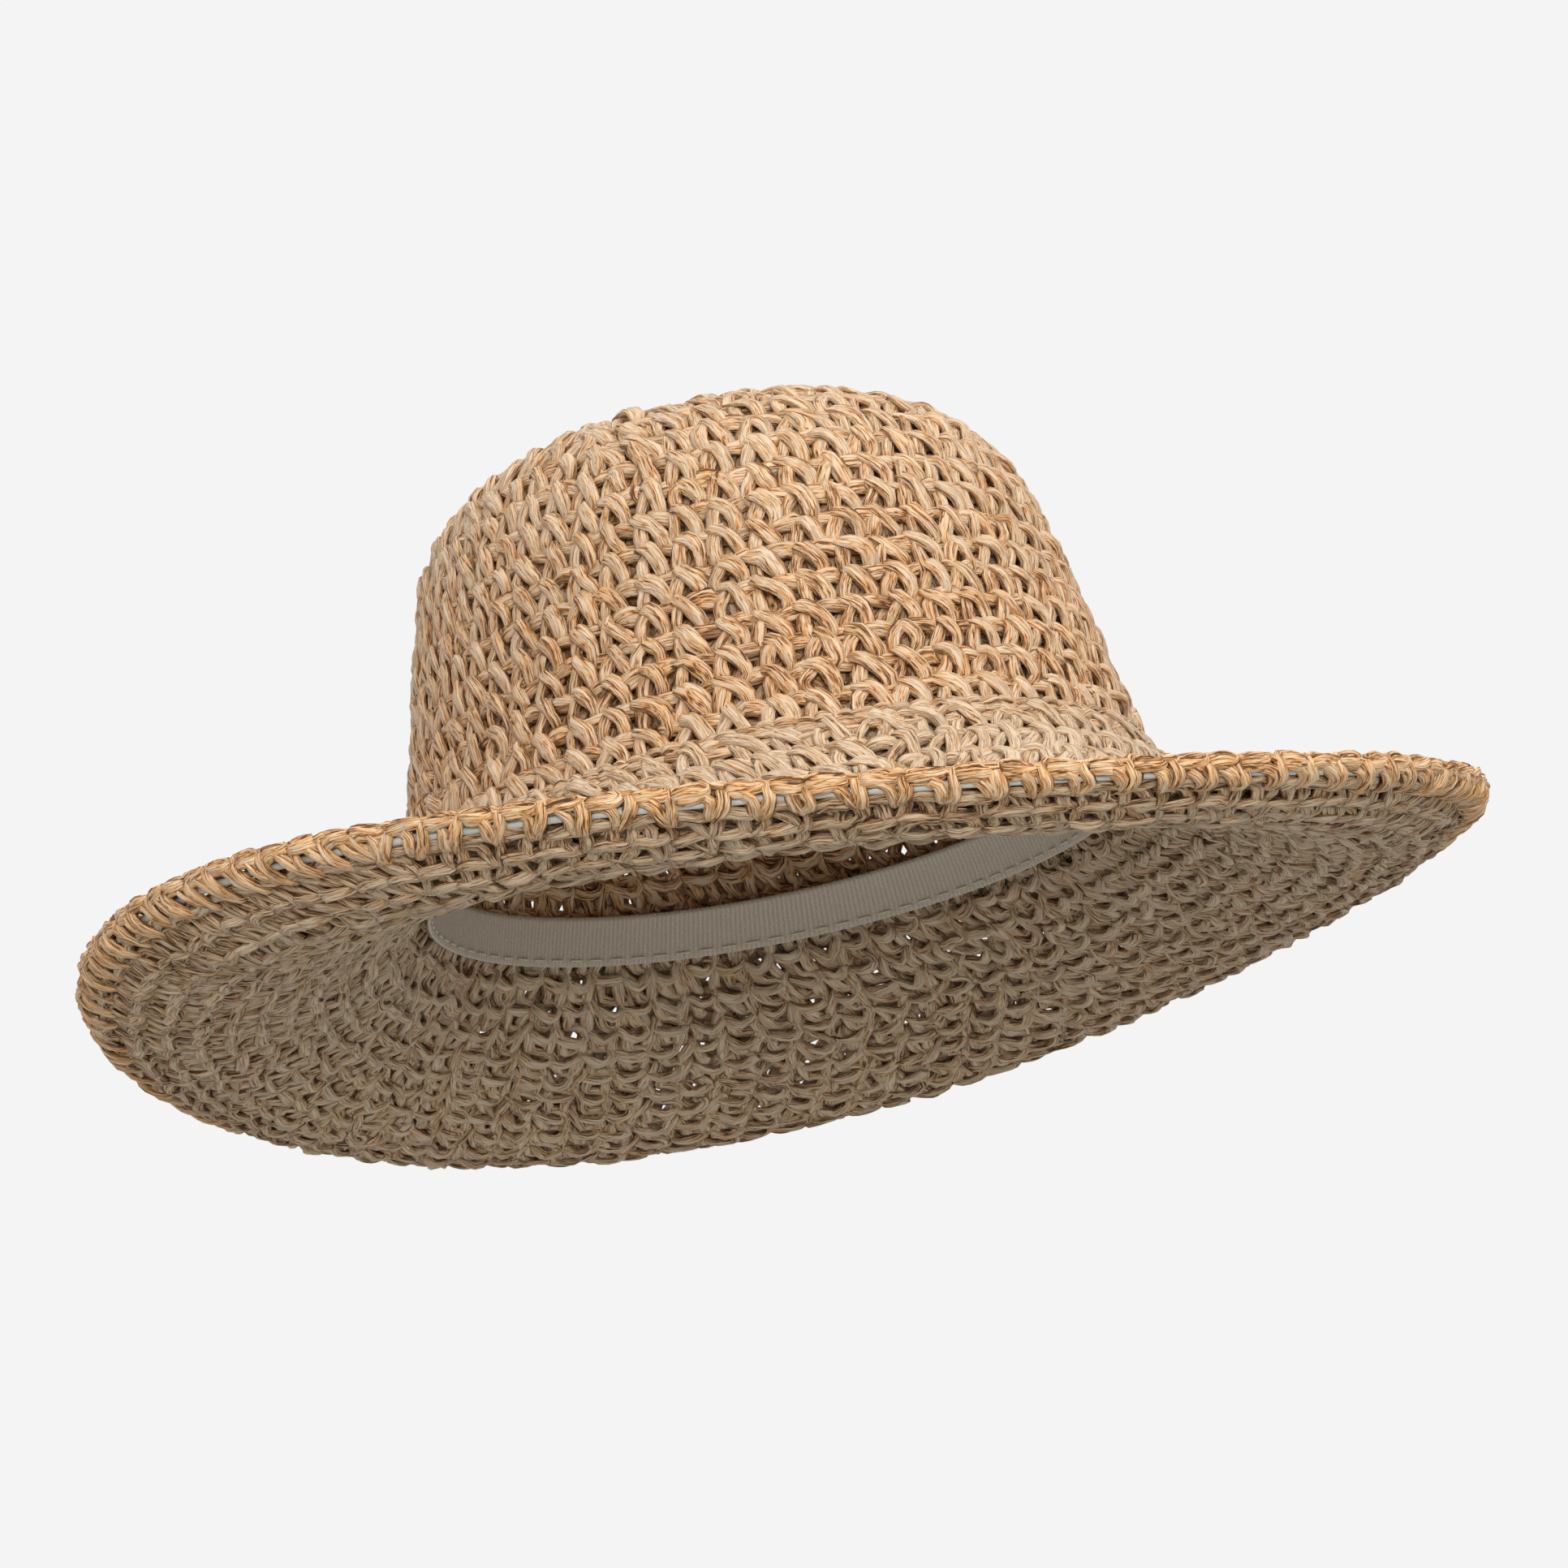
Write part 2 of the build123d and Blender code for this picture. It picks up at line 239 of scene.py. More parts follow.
def profile():
    """Rows by distance from the ridge, negative on the crown, and each row's reach out and height."""
    slopes = [FLAT_SLOPE] + [90.0 - lean for lean in CROWN_LEANS[::-1]] + [float(s) for s in BRIM_SLOPES]
    middles = [-CROWN_LENGTH - FLAT_MIDDLE]
    middles += [-CROWN_LENGTH + ROUND_PITCH * (k + 0.5) for k in range(len(CROWN_LEANS))]
    middles += [BRIM_PITCH * (k + 0.5) for k in range(len(BRIM_SLOPES))]
    fine = np.arange(-CROWN_LENGTH - MOST_FLAT, BRIM_LENGTH + PAST_EDGE[0], PROFILE_STEP)
    angle = np.radians(np.interp(fine, middles, slopes))
    between = 0.5 * (angle[1:] + angle[:-1])
    reach = np.concatenate([[0], np.cumsum(np.cos(between) * PROFILE_STEP)])
    height = np.concatenate([[0], np.cumsum(-np.sin(between) * PROFILE_STEP)])
    reach += -FABRIC / 2 - np.interp(0, fine, reach)
    height += RIDGE_HEIGHT - np.interp(0, fine, height)
    start = np.interp(HUB_HALF_WIDTH - HALF_WIDTH, reach, fine)
    rows = np.arange(start, BRIM_LENGTH + PAST_EDGE[1], ROW_STEP)
    return rows, np.interp(rows, fine, reach), np.interp(rows, fine, height)


def surface_grid():
    """Points, and unit vectors across, along growth and out, over the hat's middle surface.

    Rows follow the distance from the ridge; columns are even steps of length round from the back."""
    rows, reach, height = profile()
    turn = BACK + np.linspace(0, 2 * math.pi, TURN_SAMPLES)
    cos, sin = np.cos(turn), np.sin(turn)
    size = np.hypot(cos / HALF_WIDTH, sin / HALF_LENGTH)
    out_x, out_y = cos / HALF_WIDTH / size, sin / HALF_LENGTH / size
    growth = (np.maximum(rows, 0) / BRIM_LENGTH) ** SADDLE_POWER
    even = np.arange(COLUMNS) / COLUMNS
    points = np.empty((len(rows), COLUMNS, 3))
    round_length = np.empty(len(rows))
    for k, s in enumerate(rows):
        if s <= 0:
            x, y = (HALF_WIDTH + reach[k]) * cos, (HALF_LENGTH + reach[k]) * sin
        else:
            x, y = HALF_WIDTH * cos + reach[k] * out_x, HALF_LENGTH * sin + reach[k] * out_y
            x = x - LEFT_NARROWER * (s / BRIM_LENGTH) ** 2 * np.maximum(cos, 0) ** 2
        z = height[k] + growth[k] * (SADDLE_RISE * np.cos(2 * turn) - SIDE_DROP * cos)
        up = np.clip((height[k] - SWAY_FROM) / SWAY_RISE, 0, 1) ** 2
        z = z - up * (TOP_TILT[0] * x + TOP_TILT[1] * y)
        x, y = x + CROWN_SWAY[0] * up, y + CROWN_SWAY[1] * up
        piece = np.sqrt(np.diff(x) ** 2 + np.diff(y) ** 2 + np.diff(z) ** 2)
        along = np.concatenate([[0], np.cumsum(piece)])
        round_length[k] = along[-1]
        along /= along[-1]
        points[k] = np.column_stack([np.interp(even, along, v) for v in (x, y, z)])
    across = np.roll(points, -1, 1) - np.roll(points, 1, 1)
    grow = np.gradient(points, axis=0)
    across /= np.linalg.norm(across, axis=2)[..., None]
    out = np.cross(grow, across)
    out /= np.linalg.norm(out, axis=2)[..., None]
    grow = np.cross(across, out)
    return rows, np.concatenate([points, across, grow, out], 2), round_length


ROWS, GRID, ROUND_LENGTHS = surface_grid()


def on_surface(u, s):
    """Point, across, growth and out vectors at a share of the way round and a distance from the ridge."""
    row = np.clip((s - ROWS[0]) / (ROWS[1] - ROWS[0]), 0, len(ROWS) - 1.001)
    i = row.astype(int)
    f = (row - i)[..., None]
    col = (u % 1.0) * GRID.shape[1]
    j = col.astype(int) % GRID.shape[1]
    g = (col - np.floor(col))[..., None]
    j2 = (j + 1) % GRID.shape[1]
    low = GRID[i, j] * (1 - g) + GRID[i, j2] * g
    high = GRID[i + 1, j] * (1 - g) + GRID[i + 1, j2] * g
    value = low * (1 - f) + high * f
    return value[..., :3], value[..., 3:6], value[..., 6:9], value[..., 9:12]


def grid_quads(rows, columns, closed):
    """Quads over a grid of vertices whose columns close round, and whose rows do too if closed."""
    i = np.arange(rows if closed else rows - 1)[:, None]
    i2 = (i + 1) % rows
    j = np.arange(columns)[None]
    j2 = (j + 1) % columns
    corners = [i * columns + j, i * columns + j2, i2 * columns + j2, i2 * columns + j]
    return np.stack(corners, -1).reshape(-1, 4)


# ---------------------------------------------------------------- yarn

def sharpen(points):
    """Control points moved away from their neighbours' mean, so that the spline passes near the old ones."""
    mean = 0.5 * (np.roll(points, 1, 0) + np.roll(points, -1, 0))
    return points + SHARPEN * (points - mean)


def closed_spline(points):
    """Samples of the closed uniform cubic B-spline."""
    t = np.arange(PER_POINT) / PER_POINT
    basis = np.stack([(1 - t) ** 3, 3 * t**3 - 6 * t**2 + 4, -3 * t**3 + 3 * t**2 + 3 * t + 1, t**3], 1) / 6
    window = np.stack([np.roll(points, 1 - k, 0) for k in range(4)], 1)
    return np.einsum("pj,kjd->kpd", basis, window).reshape(-1, points.shape[1])


def wander(along, total, size, scale):
    """Smooth random values along a closed length."""
    count = max(4, int(total / scale))
    value = rng.normal(size=count)
    x = along / total * count
    i = x.astype(int)
    f = x - i
    f = f * f * (3 - 2 * f)
    return size * (value[i % count] * (1 - f) + value[(i + 1) % count] * f)


def yarn(line, normal, width, depth, tint, wide, thick):
    """A closed twisted paper yarn along a closed line: vertices, quads, yarn coordinates and tone, which also
    carries painted shade on deep yarn and on the narrow sides.
    """
    tangent = np.roll(line, -1, 0) - np.roll(line, 1, 0)
    tangent /= np.linalg.norm(tangent, axis=1)[:, None]
    step = np.linalg.norm(np.roll(line, -1, 0) - line, axis=1)
    along = np.concatenate([[0], np.cumsum(step)[:-1]])
    total = step.sum()
    up = normal - (normal * tangent).sum(1)[:, None] * tangent
    up /= np.linalg.norm(up, axis=1)[:, None] + 1e-9
    side = np.cross(tangent, up)
    phi = np.arange(AROUND) * 2 * math.pi / AROUND
    turns = 2 * math.pi * round(total / TWIST_LENGTH) / total
    twist = along * turns + wander(along, total, *BROAD_WANDER)
    twist2 = wander(along, total, *NARROW_WANDER)
    broad = BROAD_GROOVES[1] * np.cos(BROAD_GROOVES[0] * phi[None] + twist[:, None])
    narrow = NARROW_GROOVES[1] * np.cos(NARROW_GROOVES[0] * phi[None] + twist2[:, None])
    groove = 1 + broad + narrow
    w = (width * (1 + wander(along, total, *WIDTH_WANDER)))[:, None]
    h = (1 + wander(along, total, *THICK_WANDER))[:, None]
    a = 0.5 * wide * w * groove * np.cos(phi)[None]
    b = 0.5 * thick * h * groove * np.sin(phi)[None]
    verts = line[:, None] + a[..., None] * side[:, None] + b[..., None] * up[:, None]
    shape = (len(line), AROUND)
    coord = np.stack([
        np.broadcast_to(np.cos(phi)[None], shape),
        np.broadcast_to(np.sin(phi)[None], shape),
        np.broadcast_to(along[:, None], shape),
    ], -1)
    batch = wander(along, total, *LONG_TONE_WANDER) + wander(along, total, *SHORT_TONE_WANDER)
    # Painted shade: yarn lying deep in the fabric is pushed towards the ramp's warmer, darker end
    proud = np.clip(np.abs(depth) / PROUD_FULL, 0, 1)
    # The narrow sides get more tone: partly the strands' own orange-brown edges, partly painted shade in the
    # creases between strands
    tone_and_shade = (tint + batch - DEPTH_PAINTED_SHADE * proud)[:, None] + SIDE_TINT_AND_SHADE * np.cos(phi)[None] ** SIDE_SHARPNESS
    return verts.reshape(-1, 3), grid_quads(*shape, closed=True), coord.reshape(-1, 3), tone_and_shade.reshape(-1)


def yarn_on_surface(u, s, out, path, depth, tint, wide, thick):
    """The yarn through control points given round, along and out of the hat's surface."""
    point, e_across, e_grow, e_out = on_surface(u, s)
    line = point + out[..., None] * e_out
    normal = path[..., 3:4] * e_across + path[..., 4:5] * e_grow + path[..., 5:6] * e_out
    controls = np.concatenate([line, normal, path[..., 6:7], depth[..., None]], 2).reshape(-1, 8)
    controls[:, :3] = sharpen(controls[:, :3])
    samples = closed_spline(controls)
    return yarn(samples[:, :3], samples[:, 3:6], samples[:, 6], samples[:, 7], tint, wide, thick)


def repeated(path, count, jitter, rough=1.0):
    """A path once for each of count stitches or loops, each with its own small differences."""
    path = np.broadcast_to(path, (count,) + path.shape).copy()
    path[..., :3] += rng.normal(size=path[..., :3].shape) * jitter * rough
    return path


def stitch_round(start, end, count, below, shift, tint, edge):
    """One round of crochet between two distances from the ridge, worked into a round of `below` stitches."""
    k = np.arange(count)
    parent = np.round(k * below / count)
    rough = EDGE_ROUGHNESS if edge else 1.0
    path = repeated(EDGE_PATH if edge else STITCH_PATH, count, STITCH_JITTER, rough)
    slide = rng.normal(size=(count, 1)) * SLIDE
    tilt = rng.normal(size=(count, 1)) * TILT * rough
    swell = 1 + rng.normal(size=(count, 1)) * SWELL
    across = path[..., 0] + slide + tilt * (path[..., 1] - 0.5)
    grow, out = path[..., 1], path[..., 2] * swell
    share = np.clip(grow, 0, 1)
    own = (k + shift) / count
    shift_below = shift - SPIRAL_SHIFT
    old = (parent + shift_below) / below
    u = own[:, None] * share + old[:, None] * (1 - share)
    u = u + across * (share / count + (1 - share) / max(below, LEAST_PARENTS * count))
    s = start + grow * (end - start)
    wide = BRIM_YARN_WIDTH
    if edge:
        wide = EDGE_YARN_WIDTH
    elif start < 0:
        wide = CROWN_YARN_WIDTH
        proud = np.clip(1 + (start - CROWN_PROUD_TO) / CROWN_PROUD_OVER, CROWN_LEAST_PROUD, 1)
        out = np.where(out < 0, out * CROWN_INSIDE, out) + CROWN_PROUD * proud
    else:
        change = np.clip(start / BRIM_CHANGE_OVER, 0, 1)
        out = out * (1 - BRIM_FLATTER * change) + BRIM_PROUD + BRIM_MORE_PROUD * change
    return yarn_on_surface(u, s, out, path, out, tint, wide, YARN_THICK)


def ridge_chain(s, pitch, lift, wide):
    """A round of chain loops lying on the surface."""
    total = np.interp(s, ROWS, ROUND_LENGTHS)
    count = round(total / pitch)
    path = repeated(CHAIN_PATH, count, CHAIN_JITTER)
    u = (np.arange(count)[:, None] + path[..., 0]) / count
    out = path[..., 2] + lift
    depth = path[..., 2] * CHAIN_DEPTH
    return yarn_on_surface(u, s + path[..., 1], out, path, depth, RIDGE_TINT, wide, RIDGE_THICK)


# ---------------------------------------------------------------- meshes and materials

def make_mesh(name, verts, faces):
    """A smooth mesh object from arrays, in millimetres."""
    mesh = bpy.data.meshes.new(name)
    corners = faces.shape[1]
    mesh.vertices.add(len(verts))
    mesh.vertices.foreach_set("co", (verts * MM).astype(np.float32).ravel())
    mesh.loops.add(faces.size)
    mesh.loops.foreach_set("vertex_index", faces.astype(np.int32).ravel())
    mesh.polygons.add(len(faces))
    mesh.polygons.foreach_set("loop_start", np.arange(0, faces.size, corners, dtype=np.int32))
    mesh.polygons.foreach_set("use_smooth", np.full(len(faces), True))
    mesh.update(calc_edges=True)
    mesh.validate()
    piece = bpy.data.objects.new(name, mesh)
    bpy.context.scene.collection.objects.link(piece)
    return piece


def add_vectors(piece, name, vectors):
    """A vector attribute on a piece's vertices, for its material to read."""
    attribute = piece.data.attributes.new(name, "FLOAT_VECTOR", "POINT")
    attribute.data.foreach_set("vector", vectors.astype(np.float32).ravel())


def yarn_piece(name, parts, material, node):
    """Joins rounds of yarn into one piece that stands for a CAD node."""
    offset = 0
    faces = []
    for part in parts:
        faces.append(part[1] + offset)
        offset += len(part[0])
    piece = make_mesh(name, np.concatenate([p[0] for p in parts]), np.concatenate(faces))
    add_vectors(piece, "yarn", np.concatenate([p[2] for p in parts]))
    tone_and_shade = piece.data.attributes.new("tone_and_shade", "FLOAT", "POINT")
    tone_and_shade.data.foreach_set("value", np.concatenate([p[3] for p in parts]).astype(np.float32))
    piece.data.materials.append(material)
    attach(piece, "root")
    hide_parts(node)
    return piece


def new_material(name):
    """A material with its nodes, its links and its shader."""
    material = bpy.data.materials.new(name)
    material.use_nodes = True
    nodes, links = material.node_tree.nodes, material.node_tree.links
    return material, nodes, links, nodes["Principled BSDF"]


def ramp(nodes, stops):
    """A colour ramp with the given stops."""
    node = nodes.new("ShaderNodeValToRGB")
    elements = node.color_ramp.elements
    while len(elements) < len(stops):
        elements.new(0.5)
    for element, (position, colour) in zip(elements, stops):
        element.position = position
        element.color = (*colour, 1)
    return node


def add_bump(nodes, links, shader, height, strength, distance):
    """Bump on a shader from a height socket."""
    bump = nodes.new("ShaderNodeBump")
    bump.inputs["Strength"].default_value = strength
    bump.inputs["Distance"].default_value = distance
    links.new(height, bump.inputs["Height"])
    links.new(bump.outputs["Normal"], shader.inputs["Normal"])


def straw_material(name, stops):
    """Twisted paper straw: colour by tone from pale through orange to a dark end that is painted shade in folds
    and deep places, and thin lengthwise fold lines of painted shade.
    """
    material, nodes, links, shader = new_material(name)
    shader.inputs["Roughness"].default_value = 0.55
    shader.inputs["Specular IOR Level"].default_value = 0.35
    coord = nodes.new("ShaderNodeAttribute")
    coord.attribute_name = "yarn"
    tone_and_shade = nodes.new("ShaderNodeAttribute")
    tone_and_shade.attribute_name = "tone_and_shade"

    def math_node(operation, first, second=None, third=None):
        node = nodes.new("ShaderNodeMath")
        node.operation = operation
        for socket, value in zip(node.inputs, (first, second, third)):
            if isinstance(value, (int, float)):
                socket.default_value = value
            elif value is not None:
                links.new(value, socket)
        return node.outputs[0]

    def streaks(around, along, detail):
        stretch = nodes.new("ShaderNodeMapping")
        stretch.inputs["Scale"].default_value = (around, around, along)
        links.new(coord.outputs["Vector"], stretch.inputs["Vector"])
        noise = nodes.new("ShaderNodeTexNoise")
        noise.inputs["Scale"].default_value = 1.0
        noise.inputs["Detail"].default_value = detail
        noise.inputs["Roughness"].default_value = 0.55
        links.new(stretch.outputs["Vector"], noise.inputs["Vector"])
        return noise.outputs["Fac"]

    broad = streaks(around=2.5, along=0.20, detail=4)
    narrow = streaks(around=2.1, along=0.13, detail=2)
    # Broad lengthwise streaks move the colour along the ramp: partly the straw's own orange, partly painted
    # shade in its creases
    fold = math_node("MULTIPLY_ADD", broad, FOLD_SLOPE, FOLD_LEVEL)
    # Thin fold lines darken the colour: painted shade in the creases
    off_line = math_node("ABSOLUTE", math_node("SUBTRACT", narrow, 0.5))
    clear = math_node("MINIMUM", math_node("MULTIPLY", off_line, FOLD_SHARPNESS), 1.0)
    mixed = math_node("ADD", fold, tone_and_shade.outputs["Fac"])
    with_fold_shade = math_node("ADD", mixed, math_node("MULTIPLY_ADD", clear, -FOLD_LINE_PAINTED_SHADE, FOLD_LINE_PAINTED_SHADE))
    colour = ramp(nodes, stops)
    links.new(with_fold_shade, colour.inputs["Fac"])
    links.new(colour.outputs["Color"], shader.inputs["Base Color"])
    add_bump(nodes, links, shader, math_node("MULTIPLY_ADD", clear, FOLD_HEIGHT, broad), 0.9, 0.0007)
    return material


def ribbon_material(name, colour_low, colour_high, across, along):
    """Woven ribbon: fine threads over the ribs that are in the mesh."""
    material, nodes, links, shader = new_material(name)
    shader.inputs["Roughness"].default_value = 0.8
    shader.inputs["Sheen Weight"].default_value = 0.25
    coord = nodes.new("ShaderNodeAttribute")
    coord.attribute_name = "ribbon"
    stretch = nodes.new("ShaderNodeMapping")
    stretch.inputs["Scale"].default_value = (across, along, 0.0)
    links.new(coord.outputs["Vector"], stretch.inputs["Vector"])
    noise = nodes.new("ShaderNodeTexNoise")
    noise.inputs["Scale"].default_value = 1.0
    noise.inputs["Detail"].default_value = 4
    links.new(stretch.outputs["Vector"], noise.inputs["Vector"])
    split = nodes.new("ShaderNodeSeparateXYZ")
    links.new(coord.outputs["Vector"], split.inputs["Vector"])
    groove = nodes.new("ShaderNodeMath")
    groove.operation = "MULTIPLY_ADD"
    groove.inputs[1].default_value = RIB_SHADE
    links.new(split.outputs["Z"], groove.inputs[0])
    links.new(noise.outputs["Fac"], groove.inputs[2])
    colour = ramp(nodes, [(0.2, colour_low), (0.8, colour_high)])
    links.new(groove.outputs[0], colour.inputs["Fac"])
    links.new(colour.outputs["Color"], shader.inputs["Base Color"])
    add_bump(nodes, links, shader, noise.outputs["Fac"], 0.5, 0.0003)
    return material


def drawn_material(name, colour, roughness, transmission):
    """Nylon line, clear tube or thread, with faint drawing marks."""
    material, nodes, links, shader = new_material(name)
    shader.inputs["Roughness"].default_value = roughness
    shader.inputs["IOR"].default_value = 1.53
    shader.inputs["Transmission Weight"].default_value = transmission
    place = nodes.new("ShaderNodeTexCoord")
    noise = nodes.new("ShaderNodeTexNoise")
    noise.inputs["Scale"].default_value = 260.0
    noise.inputs["Detail"].default_value = 2
    links.new(place.outputs["Object"], noise.inputs["Vector"])
    dark = tuple(DRAWN_DARKER * c for c in colour)
    shade = ramp(nodes, [(0.3, dark), (0.7, colour)])
    links.new(noise.outputs["Fac"], shade.inputs["Fac"])
    links.new(shade.outputs["Color"], shader.inputs["Base Color"])
    add_bump(nodes, links, shader, noise.outputs["Fac"], 0.15, 0.0002)
    return material


# Each from the palest straw to the darkest fold; the dark end is painted shade in folds and gaps
crown_straw = straw_material("crown_straw", [
    (0.0, (0.66, 0.505, 0.355)),
    (0.30, (0.62, 0.435, 0.275)),
    (0.50, (0.66, 0.36, 0.155)),
    (0.74, (0.38, 0.17, 0.06)),
    (1.0, (0.09, 0.04, 0.016)),
])
# The brim's ramp is a darker, browner copy of the straw: painted shade for the brim's underside, which lies in
# shade
brim_straw_painted_shade = straw_material("brim_straw_painted_shade", [
    (0.0, (0.62, 0.485, 0.345)),
    (0.30, (0.58, 0.425, 0.28)),
    (0.52, (0.55, 0.32, 0.155)),
    (0.76, (0.26, 0.13, 0.055)),
    (1.0, (0.06, 0.03, 0.015)),
])
# The edge's ramp is a paler, brighter copy of the straw: painted light for the near edge, lit from the front
edge_straw_painted_light = straw_material("edge_straw_painted_light", [
    (0.0, (0.78, 0.585, 0.40)),
    (0.30, (0.77, 0.51, 0.28)),
    (0.52, (0.77, 0.40, 0.155)),
    (0.76, (0.42, 0.19, 0.07)),
    (1.0, (0.10, 0.045, 0.018)),
])

# ---------------------------------------------------------------- the rounds of the hat

flat_pitch = (-CROWN_LENGTH - ROWS[0]) / FLAT_ROUNDS
starts = [ROWS[0] + flat_pitch * k for k in range(FLAT_ROUNDS)]
starts += [-CROWN_LENGTH + ROUND_PITCH * k for k in range(len(CROWN_LEANS))]
starts += [BRIM_PITCH * k for k in range(len(BRIM_SLOPES))]
ends = starts[1:] + [BRIM_LENGTH]
BRIM_START = FLAT_ROUNDS + len(CROWN_LEANS)
SIDE_START = BRIM_START - SIDE_ROUNDS
LOW_SIDE_START = BRIM_START - LOW_SIDE_ROUNDS
EDGE_START = len(starts) - 1


def stitch_count(number, end):
    """Stitches in a round: more as the hat widens, and the same number all down the crown's side."""
    length = np.interp(end, ROWS, ROUND_LENGTHS)
    if number < SIDE_START:
        return min(SIDE_STITCHES, round(length / TOP_STITCH))
    if number < BRIM_START:
        return SIDE_STITCHES
    return round(length / np.interp(end, BRIM_STITCH_AT, BRIM_STITCH))


rounds = []
below = max(FEWEST_STITCHES, round(ROUND_LENGTHS[0] / TOP_STITCH))
for number, (start, end) in enumerate(zip(starts, ends)):
    count = stitch_count(number, end)
    tint = float(np.interp(0.5 * (start + end), TINT_AT, TINT_IS))
    shift = SPIRAL_SHIFT * number
    rounds.append(stitch_round(start, end, count, below, shift, tint, edge=number == EDGE_START))
    below = count

# Pieces' name, material, slot, CAD node, first round and the round past the last
groups = [
    ("crown_top_rounds", crown_straw, "straw_crown", "crown_top", 0, SIDE_START),
    ("crown_side_high_rounds", crown_straw, "straw_crown", "crown_side_high", SIDE_START, LOW_SIDE_START),
    ("crown_side_low_rounds", crown_straw, "straw_crown", "crown_side_low", LOW_SIDE_START, BRIM_START),
    ("brim_rounds", brim_straw_painted_shade, "straw_brim", "brim", BRIM_START, EDGE_START),
    ("brim_edge_round_stitches", edge_straw_painted_light, "straw_edge", "brim_edge_round", EDGE_START, len(rounds)),
]
for name, material, slot_name, node, first, past in groups:
    batch = []
    index = 1
    for number in range(first, past):
        batch.append(rounds[number])
        quads = sum(len(part[1]) for part in batch)
        if number + 1 == past or quads + len(rounds[number + 1][1]) > MOST_QUADS:
            yarn_piece(f"{name}_{index}", batch, material, node)
            batch = []
            index += 1

chains = [ridge_chain(*row) for row in RIDGE_ROWS]
ridge = yarn_piece("crown_base_ridge", chains, crown_straw, "crown_base_round")

# ---------------------------------------------------------------- sweatband

band_low, band_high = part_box("sweatband")
band_bottom = band_low.z / MM
band_top = band_high.z / MM
low_x, low_y = band_high.x / MM, band_high.y / MM
ribbon_round = math.pi * (3 * (low_x + low_y) - math.sqrt((3 * low_x + low_y) * (low_x + 3 * low_y)))
rib_count = round(ribbon_round / RIB_PITCH)
band_columns = rib_count * PER_RIB
level = np.linspace(0, 1, BAND_ROWS)
turn = np.arange(band_columns) / band_columns * 2 * math.pi
level_grid, turn_grid = np.meshgrid(level, turn, indexing="ij")
slow = sum(size * np.sin(waves * turn_grid + phase) for size, waves, phase in SLOW_WAVES)
slant = turn_grid + RIB_SLANT * RIB_PITCH * level_grid / (0.5 * (low_x + low_y))
rib = RIB_DEPTH * np.cos(rib_count * slant)
selvedge = SELVEDGE * (np.abs(level_grid - 0.5) > SELVEDGE_FROM)
facing = np.clip(np.cos(turn_grid - SLACK_TURN), 0, 1)
slack = RIBBON_SLACK * facing**SLACK_NARROWNESS * level_grid**SLACK_GROWTH

sides = []
for deep, rib_share in ((0.0, BACK_RIB), (RIBBON_THICK, 1.0)):
    inset = RIBBON_LEAN * level_grid + slack + deep + RIBBON_GAP
    inset = inset + (rib + selvedge) * rib_share + WAVE_IN * slow * level_grid
    x = (low_x - inset) * np.cos(turn_grid)
    y = (low_y - inset) * np.sin(turn_grid)
    z = band_bottom + (band_top - band_bottom) * level_grid + WAVE_UP * slow - SLACK_SAG * slack
    sides.append(np.stack([x, y, z], -1).reshape(-1, 3))
half = len(sides[0])
outer = grid_quads(BAND_ROWS, band_columns, closed=False)
inner = outer[:, ::-1] + half
c = np.arange(band_columns)
c2 = (c + 1) % band_columns
top_row = (BAND_ROWS - 1) * band_columns
bottom_faces = np.stack([c2, c, c + half, c2 + half], -1)
top_faces = np.stack([top_row + c, top_row + c2, top_row + c2 + half, top_row + c + half], -1)
band_faces = np.concatenate([outer, inner, bottom_faces, top_faces])
band = make_mesh("sweatband_ribbon", np.concatenate(sides), band_faces)
around_mm = (turn_grid / (2 * math.pi) * ribbon_round).reshape(-1)
up_mm = (level_grid * (band_top - band_bottom)).reshape(-1)
ribbon_coord = np.stack([around_mm, up_mm, (rib / RIB_DEPTH).reshape(-1)], -1)
add_vectors(band, "ribbon", np.concatenate([ribbon_coord, ribbon_coord]))
band.data.materials.append(ribbon_material("grosgrain", (0.39, 0.33, 0.27), (0.71, 0.62, 0.52), 1.4, 5.0))
band.data.materials.append(ribbon_material("ribbon_back", (0.50, 0.50, 0.49), (0.66, 0.66, 0.65), 3.0, 3.0))
back_index = np.zeros(len(band_faces), dtype=np.int32)
back_index[:len(outer)] = 1
band.data.polygons.foreach_set("material_index", back_index)
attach(band, "root")
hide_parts("sweatband")

# ---------------------------------------------------------------- wire, sleeve and thread keep their CAD shape

for node, material in (
    ("brim_wire", drawn_material("nylon_wire", (0.62, 0.63, 0.61), 0.25, 0.12)),
    ("wire_sleeve", drawn_material("clear_sleeve", (0.80, 0.81, 0.80), 0.12, 0.7)),
    ("sweatband_stitches", drawn_material("sewing_thread", (0.62, 0.55, 0.47), 0.7, 0.0)),
):
    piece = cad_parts[node]
    piece.data.materials.clear()
    piece.data.materials.append(material)

# ---------------------------------------------------------------- floor, light and camera

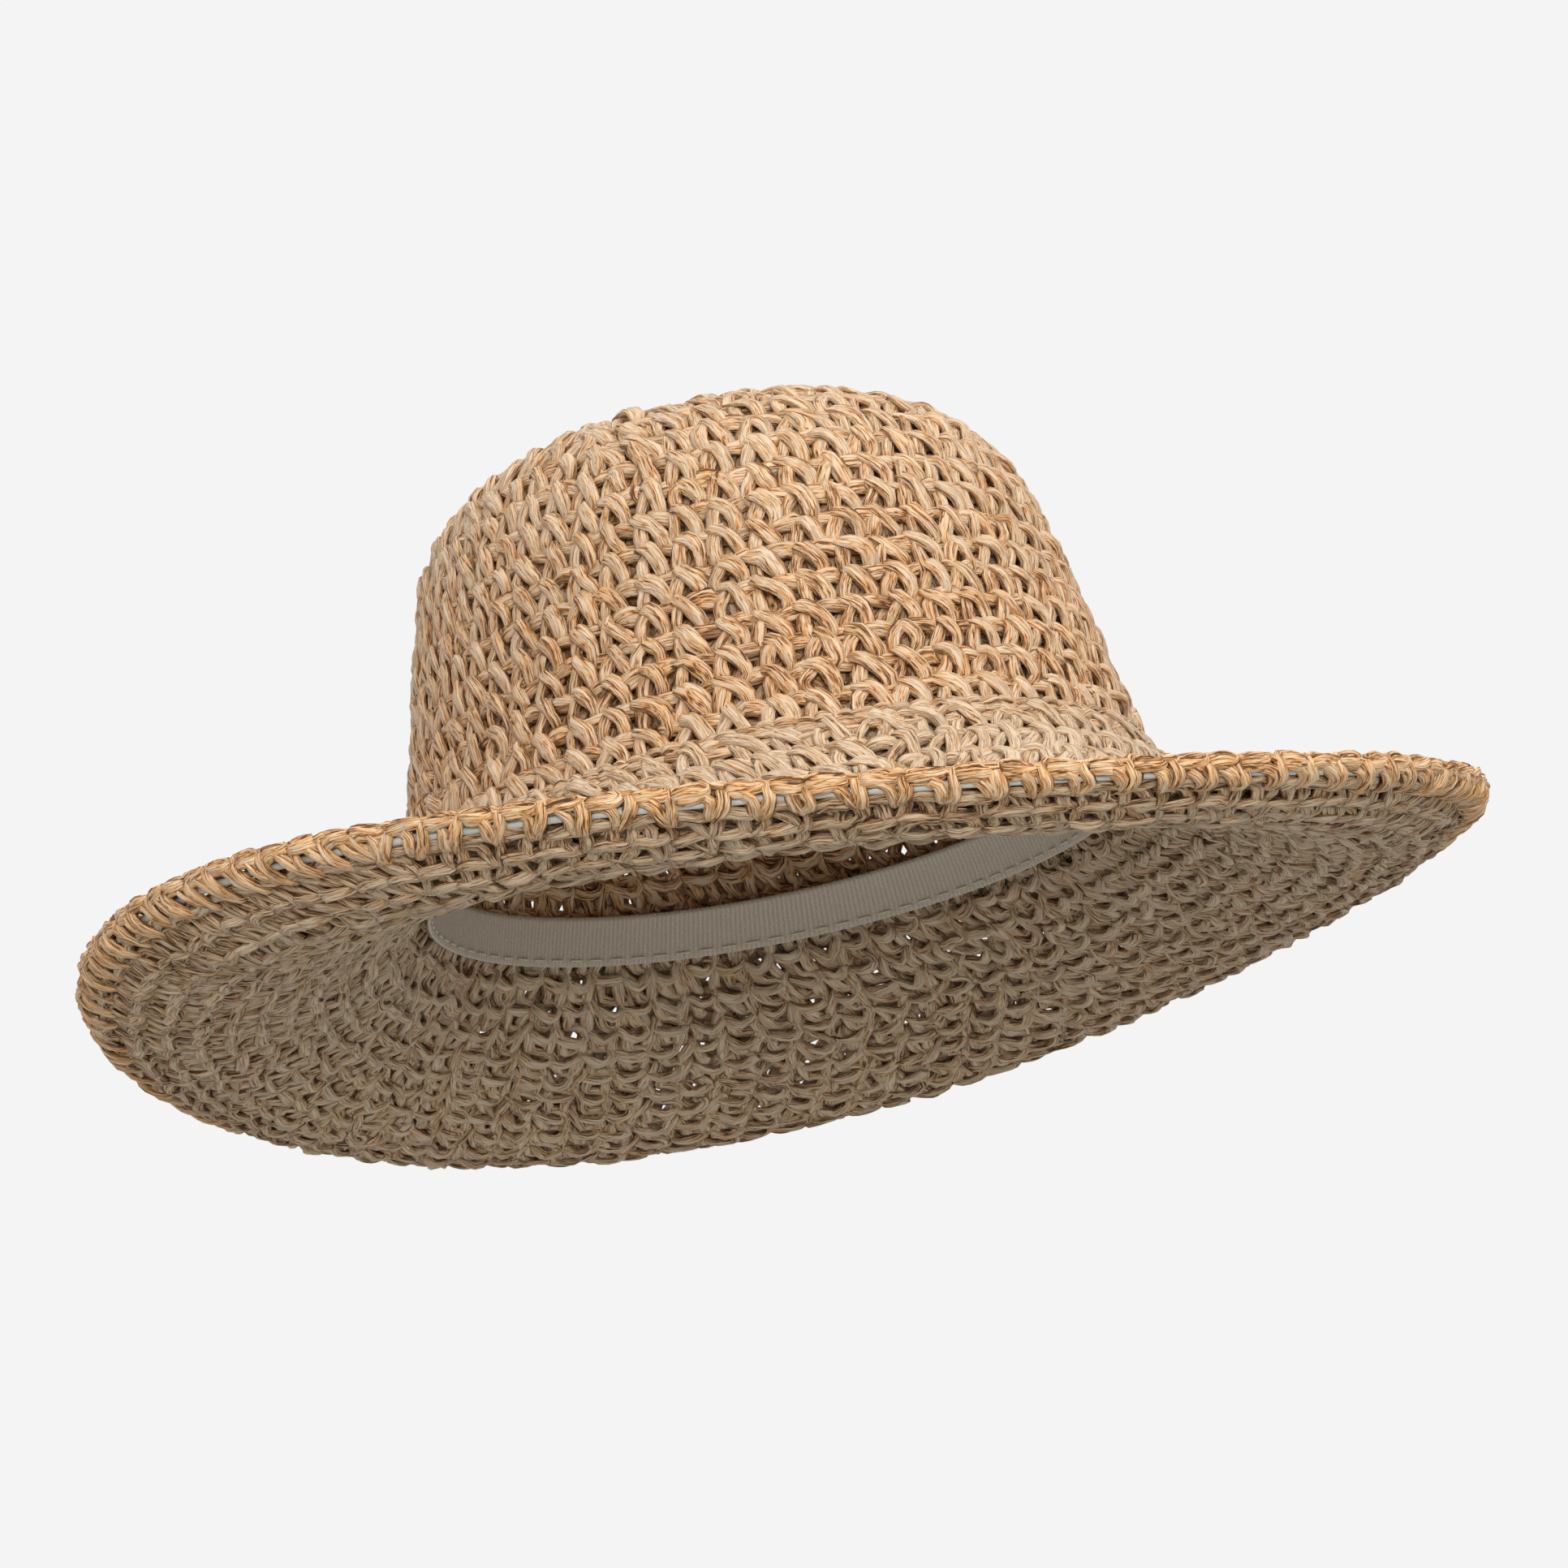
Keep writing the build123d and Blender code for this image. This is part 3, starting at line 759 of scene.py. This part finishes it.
floor_corners = [(x * FLOOR_HALF, y * FLOOR_HALF, 0) for x, y in ((-1, -1), (1, -1), (1, 1), (-1, 1))]
floor_mesh = bpy.data.meshes.new("floor")
floor_mesh.from_pydata(floor_corners, [], [(0, 1, 2, 3)])
floor = bpy.data.objects.new("floor", floor_mesh)
floor.location = (0, 0, -FLOOR_DROP)
bpy.context.scene.collection.objects.link(floor)
floor_material, nodes, links, shader = new_material("floor")
shader.inputs["Base Color"].default_value = (0.41, 0.42, 0.41, 1)
shader.inputs["Roughness"].default_value = 0.9
floor_mesh.materials.append(floor_material)

scene = bpy.context.scene
scene.view_settings.view_transform = "Standard"
world = bpy.data.worlds.new("studio")
world.use_nodes = True
world.node_tree.nodes["Background"].inputs["Color"].default_value = (WORLD_GREY, WORLD_GREY, WORLD_GREY, 1)
world.node_tree.nodes["Background"].inputs["Strength"].default_value = 1.0
scene.world = world


def area_light(name, place, size, watts, colour):
    """A round lamp that points at the hat."""
    light = bpy.data.lights.new(name, "AREA")
    light.shape = "DISK"
    light.size = size
    light.energy = watts
    light.color = colour
    lamp = bpy.data.objects.new(name, light)
    lamp.location = place
    lamp.rotation_euler = (Vector(LIT_POINT) - Vector(place)).to_track_quat("-Z", "Y").to_euler()
    scene.collection.objects.link(lamp)


area_light("key", (0.45, -1.5, 1.25), 0.9, 18, (1.0, 0.96, 0.90))
area_light("front", (-0.6, -1.75, 0.06), 0.5, 15, (1.0, 0.94, 0.85))

# The camera stands at this azimuth and elevation from the hat, rolled, and looks a little right of and above it
level_reach = math.cos(ELEVATION)
back = Vector((math.sin(AZIMUTH) * level_reach, -math.cos(AZIMUTH) * level_reach, math.sin(ELEVATION)))
right = Vector((math.cos(AZIMUTH), math.sin(AZIMUTH), 0))
up = right.cross(-back)
rolled_right = right * math.cos(ROLL) + up * math.sin(ROLL)
rolled_up = -right * math.sin(ROLL) + up * math.cos(ROLL)
camera_data = bpy.data.cameras.new("camera")
camera_data.sensor_width = SENSOR
camera_data.lens = SENSOR * DISTANCE / VIEW_WIDTH
camera = bpy.data.objects.new("camera", camera_data)
axes = Matrix((rolled_right, rolled_up, back)).transposed().to_4x4()
middle = Vector((0, 0, RIDGE_HEIGHT * MM)) + rolled_right * VIEW_RIGHT + rolled_up * VIEW_UP
camera.matrix_world = Matrix.Translation(middle + back * DISTANCE) @ axes
scene.collection.objects.link(camera)
scene.camera = camera
